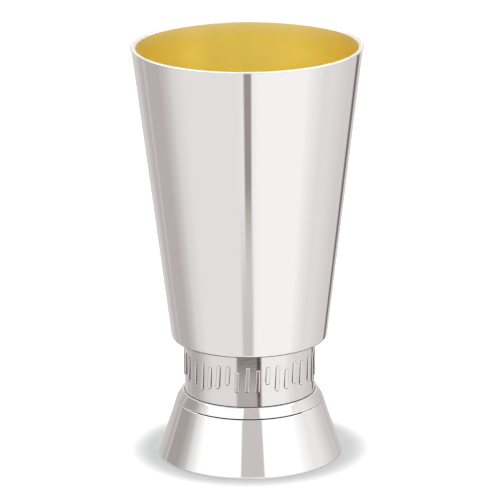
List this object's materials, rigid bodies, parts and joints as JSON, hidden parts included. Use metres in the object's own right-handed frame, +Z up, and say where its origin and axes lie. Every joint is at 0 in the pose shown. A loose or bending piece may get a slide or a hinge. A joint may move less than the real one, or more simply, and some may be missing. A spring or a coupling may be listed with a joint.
{
  "type": "kiddush cup",
  "caption": "Tall conical ceremonial wine cup in polished silver with a gilt inside, a neck band of raised strokes, a flared collar and a hollow conical foot",
  "frame": {"origin": "centre of the underside of the foot, on the surface that the cup stands on", "axes": "+Z runs up the axis of the cup to the middle of the mouth, -Y is the side seen from the front and +X is to the right seen from there"},
  "size_m": [0.0716, 0.0716, 0.13],
  "materials": {
    "bowl_silver": "polished",
    "band_silver": "gloss",
    "polished_silver": "polished"
  },
  "bodies": {
    "root": {"bowl": "bowl_silver", "neck_band": "band_silver", "collar": "polished_silver", "foot": "polished_silver"}
  },
  "joints": []
}
